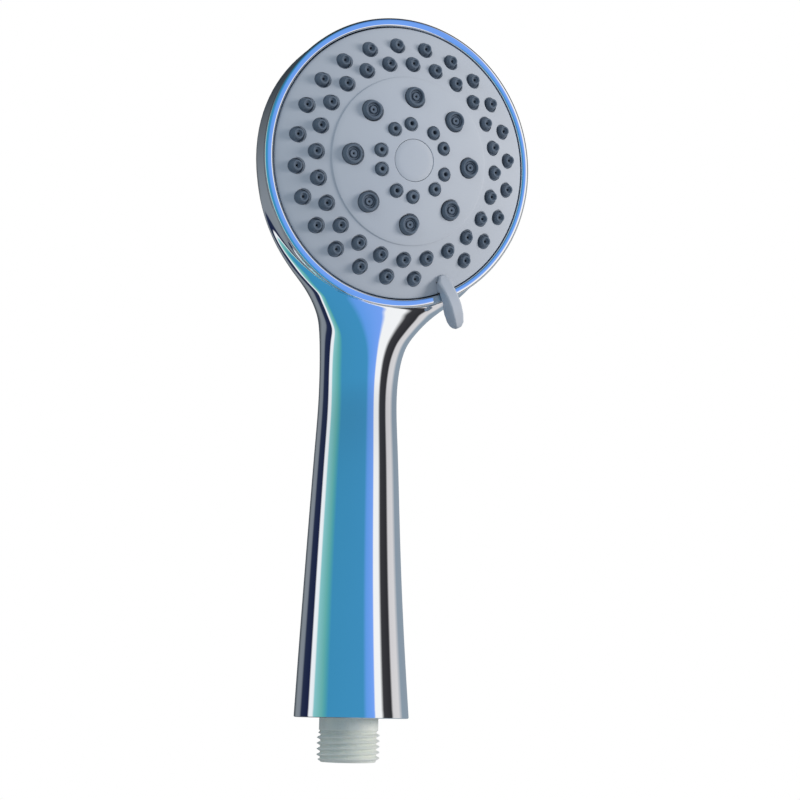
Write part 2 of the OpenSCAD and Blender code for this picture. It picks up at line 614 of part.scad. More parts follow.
turbine_r = rib_inner_r - rib_t - 1.4;
module turbine() {
    low = dial_floor + 0.8;
    high = hub_top - 0.4;
    blades = 8;
    color(acetal) on_face() {
        tube(hub_r + slip + 1.6, hub_r + slip, low, high);
        for (i = [0:blades - 1]) rotate([0, 0, i * 360 / blades])
            translate([hub_r + 1.2, -0.5, low]) cube([turbine_r - hub_r - 1.3, 1, high - low]);
        intersection() {
            tube(turbine_r, hub_r + 0.6, high - 1, high);
            translate([-turbine_r, 0, high - 2]) cube([2 * turbine_r, turbine_r, 4]);
        }
    }
}

screw_head_z = recess_floor + 0.65;
module centre_screw() {
    length = screw_head_z - housing_back - 4;
    color(steel) on_face() difference() {
        union() {
            translate([0, 0, screw_head_z - length]) cylinder(r = screw_shank_r, h = length + 0.1);
            translate([0, 0, screw_head_z]) cylinder(r = 3.5, h = 1.9);
            translate([0, 0, screw_head_z + 1.9]) cylinder(r1 = 3.5, r2 = 2.7, h = 0.5);
        }
        for (a = [0, 90]) rotate([0, 0, a]) translate([-2, -0.45, screw_head_z + 1.2]) cube([4, 0.9, 3]);
    }
}

module screw_washer() {
    color(steel) on_face() tube(4.6, screw_shank_r + slip, recess_floor + slip, screw_head_z - slip);
}

module centre_cap() {
    top = dome(0) + raised_h;
    low = top - cap_t;
    color(face_grey) on_face() rotate_extrude() polygon(concat(
        [[0, top]], dome_line(1, cap_r - 0.2, -raised_h), [[cap_r, top - 0.45], [cap_r, low], [0, low]]));
}

handle_shell();
end_cap();
trim_ring();
inlet_tube();
inlet_screen();
flow_regulator();
regulator_seal();
tube_seals();
water_housing();
housing_lid();
housing_seal();
housing_screws();
port_seal();
port_spring();
detent_pin();
detent_spring();
chamber_plate();
dial_seal();
face_plate();
selector_lever();
rain_nozzle_mat();
mist_nozzles();
mist_inserts();
massage_nozzle_mat();
turbine();
centre_screw();
screw_washer();
centre_cap();
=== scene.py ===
import json
import math

import bpy
from bpy.props import FloatProperty, IntProperty, PointerProperty
from mathutils import Matrix, Vector


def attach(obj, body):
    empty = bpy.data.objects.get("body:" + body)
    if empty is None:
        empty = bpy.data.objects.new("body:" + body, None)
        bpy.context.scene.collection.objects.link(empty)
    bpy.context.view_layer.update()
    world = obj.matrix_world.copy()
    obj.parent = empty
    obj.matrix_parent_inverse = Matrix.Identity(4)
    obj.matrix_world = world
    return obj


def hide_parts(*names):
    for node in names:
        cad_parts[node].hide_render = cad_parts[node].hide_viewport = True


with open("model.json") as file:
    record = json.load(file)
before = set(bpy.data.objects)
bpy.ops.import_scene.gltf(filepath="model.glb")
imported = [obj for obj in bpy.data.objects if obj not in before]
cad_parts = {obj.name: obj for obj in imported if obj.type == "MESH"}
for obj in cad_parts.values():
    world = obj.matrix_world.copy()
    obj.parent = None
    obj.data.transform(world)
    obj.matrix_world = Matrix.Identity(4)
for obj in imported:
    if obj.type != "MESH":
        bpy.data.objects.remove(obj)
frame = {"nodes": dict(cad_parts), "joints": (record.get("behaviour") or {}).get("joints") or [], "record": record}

bl_info = {
    "name": "Hand Shower Builder",
    "version": (1, 0, 0),
    "blender": (4, 5, 0),
    "location": "3D View > Sidebar > Shower",
    "description": "Builds a chrome hand shower with a turning spray dial",
    "category": "Object",
}

MM = 0.001
JOINTS = {j["name"]: j for j in frame["joints"]}
CENTRE = Vector(JOINTS["selector_turn"]["pos_m"])         # middle of the spray face
OUT = Vector(JOINTS["selector_turn"]["axis"]).normalized()  # out of the face
RIGHT = Vector((1.0, 0.0, 0.0))
UP = OUT.cross(RIGHT).normalized()
if UP.z < 0:
    UP = -UP
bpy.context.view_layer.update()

LEVER_ANGLE = math.radians(-62.5)
FACE_R = 46.7
DOME_H = 9.6
RAISED_R = 28.7
RAISED_H = 0.4


# ---------------------------------------------------------------- places and sizes

def on_face(x, u, w):
    """A point given in millimetres across, up and out of the spray face."""
    return CENTRE + (RIGHT * x + UP * u + OUT * w) * MM


def polar(r, angle, w):
    return on_face(r * math.cos(angle), r * math.sin(angle), w)


def dome(r):
    """Height of the domed face over its rim plane, in millimetres."""
    return DOME_H * (1 - (r / FACE_R) ** 2)


# ---------------------------------------------------------------- modelling helpers

def active():
    return bpy.context.view_layer.objects.active


def clear_selection():
    if bpy.context.object and bpy.context.object.mode != "OBJECT":
        bpy.ops.object.mode_set(mode="OBJECT")
    bpy.ops.object.select_all(action="DESELECT")


def pick(*objs):
    clear_selection()
    for obj in objs:
        obj.select_set(True)
    bpy.context.view_layer.objects.active = objs[-1]


def start_path(point, name):
    """One vertex at a point, ready to be extruded, in edit mode."""
    clear_selection()
    bpy.ops.mesh.primitive_plane_add(size=MM, location=(0, 0, 0))
    obj = active()
    obj.name = name
    bpy.ops.object.mode_set(mode="EDIT")
    bpy.ops.mesh.select_all(action="SELECT")
    bpy.ops.mesh.merge(type="CENTER")
    bpy.ops.transform.translate(value=tuple(point))
    return obj


def extrude_to(points):
    """Extrudes the selected end of a path through the points."""
    for a, b in zip(points, points[1:]):
        bpy.ops.mesh.extrude_region_move(TRANSFORM_OT_translate={"value": tuple(b - a)})


def clean(angle=30.0):
    """Welds seams, turns normals outward and shades smooth across soft edges."""
    bpy.ops.mesh.select_all(action="SELECT")
    bpy.ops.mesh.remove_doubles(threshold=1e-6)
    bpy.ops.mesh.normals_make_consistent(inside=False)
    bpy.ops.object.mode_set(mode="OBJECT")
    bpy.ops.object.shade_smooth_by_angle(angle=math.radians(angle))


def spun(name, outline, steps, centre=CENTRE, axis=OUT, across=RIGHT, angle=30.0):
    """A turned solid from a closed outline of (radius, height) pairs in millimetres."""
    points = [centre + (across * r + axis * w) * MM for r, w in outline]
    obj = start_path(points[0], name)
    extrude_to(points if outline[0][0] == 0 else points + points[:1])
    bpy.ops.mesh.select_all(action="SELECT")
    bpy.ops.mesh.spin(steps=steps, angle=math.tau, center=tuple(centre), axis=tuple(axis))
    clean(angle)
    return obj


def apply_modifier(obj, modifier):
    pick(obj)
    bpy.ops.object.modifier_apply(modifier=modifier.name)


def rounded(obj, width, segments=3, limit=35.0):
    """Rounds the sharp edges of a piece."""
    m = obj.modifiers.new("round", "BEVEL")
    m.width, m.segments = width * MM, segments
    m.limit_method, m.angle_limit = "ANGLE", math.radians(limit)
    m.use_clamp_overlap = True
    apply_modifier(obj, m)


def combined(obj, other, operation):
    """Cuts, joins or keeps the overlap of two closed solids."""
    m = obj.modifiers.new("solid", "BOOLEAN")
    m.operation, m.solver, m.object = operation, "MANIFOLD", other
    apply_modifier(obj, m)
    bpy.data.objects.remove(other)


def settle(obj, angle=30.0):
    """Puts the origin at the world's and refreshes the shading."""
    pick(obj)
    bpy.ops.object.transform_apply(location=True, rotation=True, scale=True)
    bpy.ops.object.shade_smooth_by_angle(angle=math.radians(angle))


def arrayed(obj, places):
    """Copies a piece modelled at the face's centre to places (radius, angle, height)."""
    copies = []
    for r, angle, w in places:
        pick(obj)
        bpy.ops.object.duplicate(linked=False)
        bpy.ops.transform.translate(value=tuple(polar(r, angle, w) - CENTRE))
        copies.append(active())
    bpy.data.objects.remove(obj)
    pick(*copies)
    bpy.ops.object.join()
    joined = active()
    settle(joined)
    return joined


def finish_piece(obj, body, nodes, material):
    obj.data.materials.clear()
    obj.data.materials.append(material)
    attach(obj, body)
    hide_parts(*nodes)
    return obj


def rain_places():
    step = math.tau / 24
    return ([(40.1, LEVER_ANGLE + k * step, dome(40.1)) for k in range(1, 24)]
            + [(33.7, LEVER_ANGLE + (k + 0.5) * step, dome(33.7)) for k in range(24)])


def mist_places():
    return [(21.8, LEVER_ANGLE + (k + 0.5) * math.tau / 8, dome(21.8) + RAISED_H) for k in range(8)]


def massage_places():
    return [(12.4, LEVER_ANGLE + math.pi + k * math.tau / 5 + side * math.radians(15.0),
        dome(12.4) + RAISED_H)
            for k in range(5) for side in (-1, 1)]


# ---------------------------------------------------------------- materials

class Nodes:
    """Small helper that adds and links shader nodes."""

    def __init__(self, name):
        self.material = bpy.data.materials.get(name) or bpy.data.materials.new(name)
        self.material.use_nodes = True
        self.tree = self.material.node_tree
        self.tree.nodes.clear()

    def add(self, kind, **values):
        node = self.tree.nodes.new(kind)
        for key, value in values.items():
            if hasattr(node, key) and key not in node.inputs:
                setattr(node, key, value)
            else:
                node.inputs[key].default_value = value
        return node

    def link(self, out, into):
        self.tree.links.new(out, into)

    def noise(self, scale, detail=4.0, stretch=(1.0, 1.0, 1.0)):
        place = self.add("ShaderNodeTexCoord")
        mapping = self.add("ShaderNodeMapping")
        mapping.inputs["Scale"].default_value = stretch
        self.link(place.outputs["Object"], mapping.inputs["Vector"])
        noise = self.add("ShaderNodeTexNoise")
        noise.inputs["Scale"].default_value = scale
        noise.inputs["Detail"].default_value = detail
        self.link(mapping.outputs["Vector"], noise.inputs["Vector"])
        return noise.outputs["Fac"]

    def spread(self, source, low, high, start=0.3, end=0.7):
        """Maps a noise to a range of values."""
        node = self.add("ShaderNodeMapRange")
        node.inputs["From Min"].default_value = start
        node.inputs["From Max"].default_value = end
        node.inputs["To Min"].default_value = low
        node.inputs["To Max"].default_value = high
        self.link(source, node.inputs["Value"])
        return node.outputs["Result"]

    def tint(self, source, dark, light):
        node = self.add("ShaderNodeMix", data_type="RGBA")
        node.inputs[6].default_value = (*dark, 1.0)
        node.inputs[7].default_value = (*light, 1.0)
        self.link(source, node.inputs[0])
        return node.outputs[2]

    def surface(self, colour, rough, bump_source, bump, **values):
        shader = self.add("ShaderNodeBsdfPrincipled")
        for key, value in values.items():
            shader.inputs[key.replace("_", " ")].default_value = value
        self.link(colour, shader.inputs["Base Color"])
        self.link(rough, shader.inputs["Roughness"])
        relief = self.add("ShaderNodeBump")
        relief.inputs["Strength"].default_value = bump[0]
        relief.inputs["Distance"].default_value = bump[1]
        self.link(bump_source, relief.inputs["Height"])
        self.link(relief.outputs["Normal"], shader.inputs["Normal"])
        out = self.add("ShaderNodeOutputMaterial")
        self.link(shader.outputs[0], out.inputs["Surface"])
        return self.material


def chrome():
    n = Nodes("bright chrome plate")
    smudge = n.noise(38.0, 6.0, (1.0, 1.0, 0.5))
    ripple = n.noise(14.0, 1.0)
    return n.surface(n.tint(smudge, (0.84, 0.86, 0.88), (0.93, 0.94, 0.95)), n.spread(smudge, 0.02, 0.055,
        0.35, 0.75),
                     ripple, (0.05, 0.0004), Metallic=1.0)


def face_plastic():
    n = Nodes("satin grey face plastic")
    grain = n.noise(5200.0, 3.0)
    cloud = n.noise(26.0, 5.0)
    return n.surface(n.tint(cloud, (0.43, 0.475, 0.54), (0.50, 0.54, 0.60)), n.spread(grain, 0.34, 0.46),
                     grain, (0.09, 0.00004), Specular_IOR_Level=0.45)


def nozzle_silicone():
    n = Nodes("soft nozzle silicone")
    grain = n.noise(3800.0, 3.0)
    cloud = n.noise(120.0, 4.0)
    return n.surface(n.tint(cloud, (0.085, 0.115, 0.155), (0.14, 0.175, 0.225)), n.spread(grain, 0.42, 0.6),
                     grain, (0.15, 0.00005), Specular_IOR_Level=0.4)


def milky_plastic():
    n = Nodes("milky translucent plastic")
    streak = n.noise(60.0, 5.0, (1.0, 1.0, 4.0))
    grain = n.noise(2600.0, 3.0)
    return n.surface(n.tint(streak, (0.68, 0.74, 0.70), (0.84, 0.86, 0.79)), n.spread(grain, 0.26, 0.4),
                     grain, (0.1, 0.00006), Subsurface_Weight=0.35, Subsurface_Scale=0.004,
                     Subsurface_Radius=(1.0, 0.9, 0.8), Transmission_Weight=0.12, IOR=1.5)


def steel():
    n = Nodes("drawn steel")
    streak = n.noise(900.0, 4.0, (1.0, 1.0, 0.1))
    return n.surface(n.tint(streak, (0.5, 0.51, 0.53), (0.66, 0.67, 0.69)), n.spread(streak, 0.2, 0.38),
                     streak, (0.1, 0.00004), Metallic=1.0)


def acetal():
    n = Nodes("white acetal")
    grain = n.noise(1800.0, 3.0)
    cloud = n.noise(70.0, 4.0)
    return n.surface(n.tint(cloud, (0.78, 0.78, 0.74), (0.86, 0.86, 0.83)), n.spread(grain, 0.36, 0.5),
                     grain, (0.1, 0.00005), Subsurface_Weight=0.1, Subsurface_Scale=0.002)


def rubber():
    n = Nodes("black seal rubber")
    grain = n.noise(2400.0, 4.0)
    cloud = n.noise(150.0, 4.0)
    return n.surface(n.tint(cloud, (0.018, 0.018, 0.02), (0.042, 0.042, 0.045)), n.spread(grain, 0.55,
        0.75),
                     grain, (0.2, 0.00006), Specular_IOR_Level=0.35)


MAKERS = {"chrome": chrome, "face_plastic": face_plastic, "nozzle_silicone": nozzle_silicone,
          "milky_plastic": milky_plastic, "steel": steel, "white_plastic": acetal, "seal_rubber": rubber}
MADE = {}


def material(slot):
    if slot not in MADE:
        MADE[slot] = MAKERS[slot]()
    return MADE[slot]


# ---------------------------------------------------------------- settings

class ShowerShellSettings(bpy.types.PropertyGroup):
    sides: IntProperty(name="Sides", description="Steps round the shell", default=112, min=24)
    cuts: IntProperty(name="Cuts", description="Steps between two rings of the shell", default=8, min=1)
    edge: FloatProperty(name="Edge", description="Rounding at the shell's mouth, in mm", default=0.5)


class ShowerFaceSettings(bpy.types.PropertyGroup):
    steps: IntProperty(name="Steps", description="Steps round the face plate", default=160, min=32)
    hole_edge: FloatProperty(name="Hole edge", description="Lead-in round each nozzle, in mm", default=0.28)


class ShowerLeverSettings(bpy.types.PropertyGroup):
    thickness: FloatProperty(name="Thickness", description="Width of the lever, in mm", default=4.4)
    edge: FloatProperty(name="Edge", description="Rounding of its edges, in mm", default=0.7)


class ShowerInletSettings(bpy.types.PropertyGroup):
    pitch: FloatProperty(name="Pitch", description="Pitch of the pipe thread, in mm", default=1.814)
    steps: IntProperty(name="Steps", description="Steps per turn of the thread", default=72, min=16)


class ShowerStageSettings(bpy.types.PropertyGroup):
    floor: FloatProperty(name="Floor", description="Height of the floor", default=-0.3, unit="LENGTH",
        subtype="DISTANCE")
    light: FloatProperty(name="Light", description="Strength of the soft surround", default=0.5, min=0.0)


# ---------------------------------------------------------------- shell

SHELL_R, RIM_W, HEAD_DEPTH = 49.6, -1.9, 32.5
WAIST_R, WAIST_Z, MOUTH_R, MOUTH_Z, MOUTH_Y = 13.9, 130.0, 19.2, 14.2, -2.0
LEDGE_R, LEDGE_W, RIM_IN, WALL = 45.6, -12.0, 48.0, 2.4


def section(u, w):
    """(y, z) in millimetres of a point in the shower's middle plane."""
    p = on_face(0, u, w) / MM
    return (p.y, p.z)


def level(z, r, y):
    return [y - r, z, y + r, z, r, 0.0]


def lean(front, back, half, narrow=0.0):
    return [*front, *back, half, narrow]


def taper(t):
    return MOUTH_R + (WAIST_R - MOUTH_R) * (1.25 * t - 0.25 * t * t)


def outer_rings(edge):
    span = WAIST_Z - MOUTH_Z
    throat = section(-SHELL_R, RIM_W)
    rise, reach = throat[1] - WAIST_Z, -throat[0] - WAIST_R

    def front(part, up):
        return (-WAIST_R - reach * part, WAIST_Z + rise * up)

    back = -HEAD_DEPTH
    return [
        level(MOUTH_Z + edge, taper(edge / span), MOUTH_Y), level(MOUTH_Z + span * 0.2, taper(0.2),
            MOUTH_Y * 0.4),
        level(MOUTH_Z + span * 0.45, taper(0.45), 0), level(MOUTH_Z + span * 0.75, taper(0.75), 0),
        level(WAIST_Z - 4, WAIST_R, 0),
        lean(front(0.20, 0.30), section(-57, back - 2.9), WAIST_R + 1.5, 0.12),
        lean(front(0.46, 0.60), section(-44, back - 2.3), WAIST_R + 5.4, 0.24),
        lean(front(0.72, 0.83), section(-31, back - 1.5), WAIST_R + 11.3, 0.30),
        lean(front(0.88, 0.94), section(-16, back - 0.5), SHELL_R * 0.66, 0.22),
        lean(front(0.95, 0.985), section(2, back), SHELL_R * 0.80, 0.12),
        lean(front(0.985, 0.997), section(SHELL_R * 0.45, back + 1.2), SHELL_R * 0.91, 0.05),
        lean(section(-SHELL_R, RIM_W - 0.25), section(SHELL_R * 0.79, back + 4.8), SHELL_R * 0.97, 0.01),
        lean(section(-SHELL_R, RIM_W - 0.2), section(SHELL_R * 0.965, back + 11.5), SHELL_R * 0.998),
        lean(section(-SHELL_R, RIM_W - 0.1), section(SHELL_R, back + 19), SHELL_R),
        lean(section(-SHELL_R, RIM_W), section(SHELL_R, RIM_W), SHELL_R)]


def inner_rings():
    span = WAIST_Z - MOUTH_Z
    bore = WAIST_R - WALL
    fy, fz = section(-LEDGE_R, LEDGE_W)
    back = -HEAD_DEPTH
    return [
        level(MOUTH_Z, MOUTH_R - WALL, MOUTH_Y), level(MOUTH_Z + span * 0.45, taper(0.45) - WALL, 0),
        level(WAIST_Z, bore, 0), lean((-bore, WAIST_Z + 14), section(-52, back - 0.2), WAIST_R, 0.12),
        lean((fy, fz - 6), section(-26, back + 1.6), SHELL_R * 0.50, 0.25),
        lean((fy, fz - 2), section(-6, back + 2.5), SHELL_R * 0.68, 0.16),
        lean((fy, fz - 0.6), section(SHELL_R * 0.40, back + 4), SHELL_R * 0.83, 0.06),
        lean(section(-LEDGE_R, LEDGE_W - 0.5), section(SHELL_R * 0.71, back + 8), SHELL_R * 0.885, 0.01),
        lean(section(-LEDGE_R, LEDGE_W - 0.3), section(SHELL_R * 0.88, back + 13.5), LEDGE_R),
        lean(section(-LEDGE_R, LEDGE_W), section(LEDGE_R, LEDGE_W), LEDGE_R)]


def smooth_run(rings, cuts, passes):
    """A soft curve through the rings, evened out so that reflections flow without kinks."""
    out = []
    for i in range(len(rings) - 1):
        a, b, c, d = rings[max(i - 1, 0)], rings[i], rings[i + 1], rings[min(i + 2, len(rings) - 1)]
        for k in range(cuts):
            t = k / cuts
            out.append([0.5 * (2 * q + (r - p) * t + (2 * p - 5 * q + 4 * r - s) * t * t
                               + (3 * q - p - 3 * r + s) * t ** 3) for p, q, r, s in zip(a, b, c, d)])
    out.append(list(rings[-1]))
    for _ in range(passes):
        held = [list(r) for r in out]
        for i in range(1, len(out) - 1):
            out[i] = [(p + 2 * q + r) / 4 for p, q, r in zip(held[i - 1], held[i], held[i + 1])]
    return out


def ring_point(ring, angle):
    back = math.sin(angle)
    across = ring[4] * math.cos(angle) * (1 - ring[5] * back)
    return Vector((across, (ring[0] + ring[2] + (ring[2] - ring[0]) * back) / 2,
                   (ring[1] + ring[3] + (ring[3] - ring[1]) * back) / 2)) * MM


class SHOWER_OT_shell(bpy.types.Operator):
    """Builds the hollow chrome shell of handle and head, extruded ring by ring from a circle"""
    bl_idname = "shower.shell"
    bl_label = "Shell"

    def execute(self, context):
        s = context.scene.shower_shell
        outer = smooth_run(outer_rings(s.edge), s.cuts, 6)
        lip = [level(MOUTH_Z, MOUTH_R - s.edge * 1.1, MOUTH_Y), level(MOUTH_Z + s.edge * 0.12,
            MOUTH_R - s.edge * 0.55, MOUTH_Y),
               level(MOUTH_Z + s.edge * 0.45, MOUTH_R - s.edge * 0.12, MOUTH_Y)]
        rim = [lean(section(-RIM_IN, w), section(RIM_IN, w), RIM_IN) for w in (RIM_W, LEDGE_W + 0.05)]
        inner = smooth_run(inner_rings(), 4, 1)
        rings = lip + outer + rim + inner[::-1]
        clear_selection()
        bpy.ops.mesh.primitive_circle_add(vertices=s.sides, radius=MOUTH_R * MM, fill_type="NOTHING")
        shell = active()
        shell.name = "chrome_shell"
        bpy.ops.object.mode_set(mode="EDIT")
        bpy.ops.mesh.select_all(action="SELECT")
        for _ in rings[1:]:
            bpy.ops.mesh.extrude_region_move(TRANSFORM_OT_translate={"value": (0, 0, MM)})
        bpy.ops.object.mode_set(mode="OBJECT")
        for v in shell.data.vertices:
            v.co = ring_point(rings[round(v.co.z / MM)], math.atan2(v.co.y, v.co.x))
        bpy.ops.object.mode_set(mode="EDIT")
        bpy.ops.mesh.select_mode(type="EDGE")
        bpy.ops.mesh.select_all(action="DESELECT")
        bpy.ops.mesh.select_non_manifold()
        bpy.ops.mesh.bridge_edge_loops()
        bpy.ops.mesh.select_mode(type="VERT")
        clean(34.0)
        finish_piece(shell, "handset", ["handle_shell"], material("chrome"))
        return {"FINISHED"}


class SHOWER_OT_trim_ring(bpy.types.Operator):
    """Builds the bright ring round the spray face with its rounded lip"""
    bl_idname = "shower.trim_ring"
    bl_label = "Trim ring"

    def execute(self, context):
        arc = [(49.05 + 0.9 * math.cos(a), -0.38 + 0.92 * math.sin(a)) for a in
               [math.radians(90 - 11.25 * k) for k in range(9)]]
        outline = ([(47.12, -8.85), (47.84, -8.85), (47.84, -1.78), (49.75, -1.78), (49.95, -1.45)]
                   + arc[::-1] + [(47.75, 0.5), (47.4, 0.42), (47.18, 0.2), (47.12, -0.1)])
        ring = spun("bright_trim_ring", outline, 256, angle=38.0)
        finish_piece(ring, "handset", ["trim_ring"], material("chrome"))
        return {"FINISHED"}


# ---------------------------------------------------------------- spray face

class SHOWER_OT_face(bpy.types.Operator):
    """Builds the domed face plate with its raised disc and the holes for the nozzles"""
    bl_idname = "shower.face"
    bl_label = "Face plate"

    def execute(self, context):
        s = context.scene.shower_face
        top = dome(0) + RAISED_H
        disc = [(r,
            dome(r) + RAISED_H) for r in [RAISED_R - 0.35 - k * (RAISED_R - 9.35) / 12 for k in range(13)]]
        slope = [(r,
            dome(r)) for r in [FACE_R - 0.6 - k * (FACE_R - RAISED_R - 0.9) / 12 for k in range(13)]]
        outline = [(0, 2.1), (6.6, 2.1), (7.0, dome(7.0) - 2.2)]
        outline += [(r, dome(r) - 2.2) for r in (14, 21, 28, 35, 41)]
        outline += [(44.65, dome(44.65) - 2.2), (44.65, -5.2), (46.55, -5.2), (46.7, -5.05), (46.7, -0.35),
                    (46.62, -0.12), (46.4, 0.06)]
        outline += slope + [(RAISED_R + 0.12, dome(RAISED_R) + 0.0), (RAISED_R, dome(RAISED_R) + 0.1),
                            (RAISED_R - 0.04, dome(RAISED_R) + 0.3), (RAISED_R - 0.16,
                                dome(RAISED_R) + RAISED_H)]
        outline += disc + [(7.4, dome(7.4) + RAISED_H), (7.26, dome(7.2) + RAISED_H - 0.1), (7.22,
            dome(7.2) - 0.3),
                           (7.22, top - 2.0), (0, top - 2.0)]
        face = spun("spray_face_plate", outline, s.steps, angle=25.0)
        for r, places in ((2.6, rain_places()), (3.6, mist_places()), (2.35, massage_places())):
            e = s.hole_edge
            cutter = spun("cutter", [(0, -9), (r, -9), (r, -e * 1.3), (r + e * 0.35, -e * 0.5),
                (r + e * 1.2, 0.02),
                                     (r + e * 1.4, 3), (0, 3)], 32)
            combined(face, arrayed(cutter, places), "DIFFERENCE")
        clear_selection()
        bpy.ops.mesh.primitive_cube_add(size=1)
        notch = active()
        notch.data.transform(Matrix.Translation((46.7 * MM, 0, 8.8 * MM)) @ Matrix.Diagonal((8.4 * MM,
            4.5 * MM, 0.02, 1)))
        notch.data.transform(face_matrix(LEVER_ANGLE))
        combined(face, notch, "DIFFERENCE")
        settle(face, 25.0)
        finish_piece(face, "spray_dial", ["face_plate"], material("face_plastic"))
        return {"FINISHED"}


def face_matrix(angle):
    """Placement on the spray face, turned about its axis by an angle."""
    turn = Matrix((RIGHT, UP, OUT)).transposed().to_4x4()
    return Matrix.Translation(CENTRE) @ turn @ Matrix.Rotation(angle, 4, "Z")


class SHOWER_OT_centre_cap(bpy.types.Operator):
    """Builds the plain cap in the middle of the face"""
    bl_idname = "shower.centre_cap"
    bl_label = "Centre cap"

    def execute(self, context):
        top = dome(0) + RAISED_H
        cap = spun("face_centre_cap", [(0, top - 1.7), (7.13, top - 1.7), (7.13, dome(7.1) + 0.22), (7.08,
            dome(7.1) + 0.34),
                                       (6.95, dome(6.95) + RAISED_H), (5, dome(5) + RAISED_H), (2.5,
                                           dome(2.5) + RAISED_H),
                                       (0, top)], 96)
        finish_piece(cap, "spray_dial", ["centre_cap"], material("face_plastic"))
        return {"FINISHED"}


class SHOWER_OT_lever(bpy.types.Operator):
    """Builds the leaf-shaped selector lever that stands on the rim of the face"""
    bl_idname = "shower.lever"
    bl_label = "Selector lever"

    def execute(self, context):
        s = context.scene.shower_lever
        place = face_matrix(LEVER_ANGLE)
        outline = [(42.6, -1.1), (46.6, -1.1), (46.6, 1.12), (50.6, 1.12), (51.6, 0.1), (54.5, -0.55),
            (57.4, -0.75),
                   (59.2, -0.35), (60.25, 0.9), (60.5, 2.4), (60.1, 4.0), (58.7, 5.5), (55.6, 6.8), (52.1,
                       7.3), (48.6, 6.85),
                   (45.6, 5.75), (42.9, 4.4), (41.0, 3.55), (40.4, 2.6), (42.6, 1.75)]
        points = [place @ Vector((r * MM, -s.thickness / 2 * MM, w * MM)) for r, w in outline]
        lever = start_path(points[0], "selector_lever_fin")
        extrude_to(points)
        bpy.ops.mesh.select_all(action="SELECT")
        bpy.ops.mesh.edge_face_add()
        across = (place.to_3x3() @ Vector((0, 1, 0))) * s.thickness * MM
        bpy.ops.mesh.extrude_region_move(TRANSFORM_OT_translate={"value": tuple(across)})
        clean()
        inverse = place.inverted()
        for v in lever.data.vertices:
            p = inverse @ v.co
            r = p.x / MM
            thin = 1 - 0.5 * max(0.0, (r - 57.0) / 3.5) ** 2 - 0.55 * max(0.0, (43.5 - r) / 3.1) ** 2
            v.co = place @ Vector((p.x, p.y * thin, p.z))
        rounded(lever, s.edge, 4, 40.0)
        settle(lever, 40.0)
        finish_piece(lever, "spray_dial", ["selector_lever"], material("face_plastic"))
        return {"FINISHED"}


# ---------------------------------------------------------------- nozzles

class SHOWER_OT_rain_nozzles(bpy.types.Operator):
    """Builds the two rows of small tapered rain nozzles"""
    bl_idname = "shower.rain_nozzles"
    bl_label = "Rain nozzles"

    def execute(self, context):
        nub = spun("rain_nozzles", [(0, -2.6), (2.5, -2.6), (2.5, -0.75), (2.1, -0.62), (1.98, -0.3),
            (1.78, 1.35), (1.68, 1.7),
                                    (1.45, 1.88), (1.2, 1.86), (1.05, 1.7), (0.95, 1.35), (0.5, 1.1),
                                        (0.42, 0.9),
                                    (0.42, -0.6), (0, -0.6)], 28, angle=45.0)
        nozzles = arrayed(nub, rain_places())
        finish_piece(nozzles, "spray_dial", ["rain_nozzle_mat"],
            material("nozzle_silicone"))
        return {"FINISHED"}


class SHOWER_OT_mist_nozzles(bpy.types.Operator):
    """Builds the eight large mist nozzles, each with a sleeve and a grooved insert"""
    bl_idname = "shower.mist_nozzles"
    bl_label = "Mist nozzles"

    def execute(self, context):
        sleeve = spun("mist_nozzle_sleeves", [(3.42, -2.6), (3.42, 0.15), (3.3, 0.5), (3.02, 1.35), (2.86,
            1.54), (2.62, 1.58),
                                              (2.42, 1.5), (2.3, 1.3), (2.22, 1.0), (2.22, -2.6)], 40,
                                                  angle=45.0)
        sleeves = arrayed(sleeve, mist_places())
        finish_piece(sleeves, "spray_dial", ["mist_nozzles"],
            material("nozzle_silicone"))
        insert = spun("mist_nozzle_inserts", [(0, -1.6), (2.15, -1.6), (2.15, 0.62), (2.05, 0.78), (1.75,
            0.8), (1.62, 0.62),
                                              (1.58, 0.35), (1.32, 0.35), (1.28, 0.9), (1.16, 1.12), (0.6,
                                                  1.1), (0.4, 0.98),
                                              (0.34, 0.7), (0.34, -0.6), (0, -0.6)], 32, angle=45.0)
        inserts = arrayed(insert, mist_places())
        finish_piece(inserts, "spray_dial", ["mist_inserts"],
            material("nozzle_silicone"))
        return {"FINISHED"}


class SHOWER_OT_massage_nozzles(bpy.types.Operator):
    """Builds the five pairs of massage nozzles round the centre cap"""
    bl_idname = "shower.massage_nozzles"
    bl_label = "Massage nozzles"

    def execute(self, context):
        nub = spun("massage_nozzles", [(0, -2.6), (2.25, -2.6), (2.25, -0.55), (1.98, -0.4), (1.9, -0.1),
            (1.72, 0.85),
                                       (1.6, 1.08), (1.38, 1.18), (1.0, 1.14), (0.76, 0.98), (0.66, 0.7),
                                           (0.62, -0.9),
                                       (0, -0.9)], 32, angle=45.0)
        nozzles = arrayed(nub, massage_places())
        finish_piece(nozzles, "spray_dial", ["massage_nozzle_mat"],
            material("nozzle_silicone"))
        return {"FINISHED"}


# ---------------------------------------------------------------- inlet

